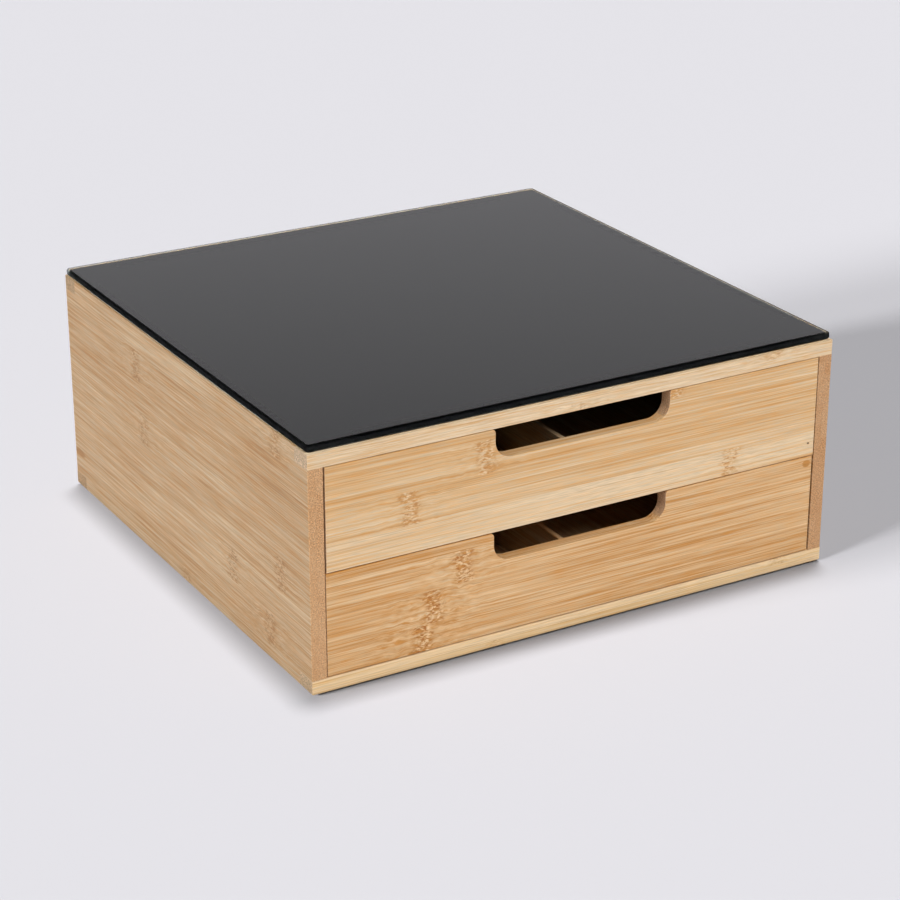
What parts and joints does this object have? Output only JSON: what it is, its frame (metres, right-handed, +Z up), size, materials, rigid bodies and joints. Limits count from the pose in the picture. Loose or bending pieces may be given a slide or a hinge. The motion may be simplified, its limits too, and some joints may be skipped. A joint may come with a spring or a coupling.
{
  "type": "coffee capsule drawer cabinet",
  "caption": "Low bamboo cabinet with stacked capsule drawers under a black glass top; each drawer slides on side runners and has a finger cut-out and a centre divider.",
  "frame": {"origin": "on the surface it stands on, under the middle of the case", "axes": "+X to the right seen from the front, +Y to the back, +Z up; the drawers open towards -Y"},
  "size_m": [0.315, 0.305, 0.1352],
  "materials": {
    "bamboo_panel": "satin clear lacquer, grain from front to back",
    "bamboo_rail": "satin clear lacquer",
    "bamboo_upper_front": "satin clear lacquer, grain across",
    "bamboo_lower_front": "satin clear lacquer, grain across",
    "bamboo_strip": "satin clear lacquer",
    "bamboo_sheet": "thin sheet, satin",
    "steel": "bright",
    "black_glass": "polished, back-painted black",
    "tape": "thin clear foam",
    "pad_rubber": "matt"
  },
  "bodies": {
    "case": {"side_panel_left": "bamboo_panel", "side_panel_right": "bamboo_panel", "top_front_rail": "bamboo_rail", "top_back_rail": "bamboo_rail", "bottom_front_rail": "bamboo_rail", "bottom_back_rail": "bamboo_rail", "back_panel": "bamboo_sheet", "bottom_panel": "bamboo_sheet", "upper_runner_left": "bamboo_strip", "upper_runner_right": "bamboo_strip", "lower_runner_left": "bamboo_strip", "lower_runner_right": "bamboo_strip", "runner_brads": "steel", "case_brads": "steel", "glass_top": "black_glass", "glass_tape": "tape", "anti_slip_pads": "pad_rubber"},
    "upper_drawer": {"upper_drawer_front": "bamboo_upper_front", "upper_drawer_side_left": "bamboo_strip", "upper_drawer_side_right": "bamboo_strip", "upper_drawer_back": "bamboo_strip", "upper_drawer_floor": "bamboo_sheet", "upper_drawer_divider": "bamboo_strip", "upper_drawer_brads": "steel"},
    "lower_drawer": {"lower_drawer_front": "bamboo_lower_front", "lower_drawer_side_left": "bamboo_strip", "lower_drawer_side_right": "bamboo_strip", "lower_drawer_back": "bamboo_strip", "lower_drawer_floor": "bamboo_sheet", "lower_drawer_divider": "bamboo_strip", "lower_drawer_brads": "steel"}
  },
  "joints": [
    {"name": "upper_drawer_slide", "type": "slide", "parent": "case", "child": "upper_drawer", "axis": [0, -1, 0], "range_m": [0, 0.24]},
    {"name": "lower_drawer_slide", "type": "slide", "parent": "case", "child": "lower_drawer", "axis": [0, -1, 0], "range_m": [0, 0.24]}
  ]
}
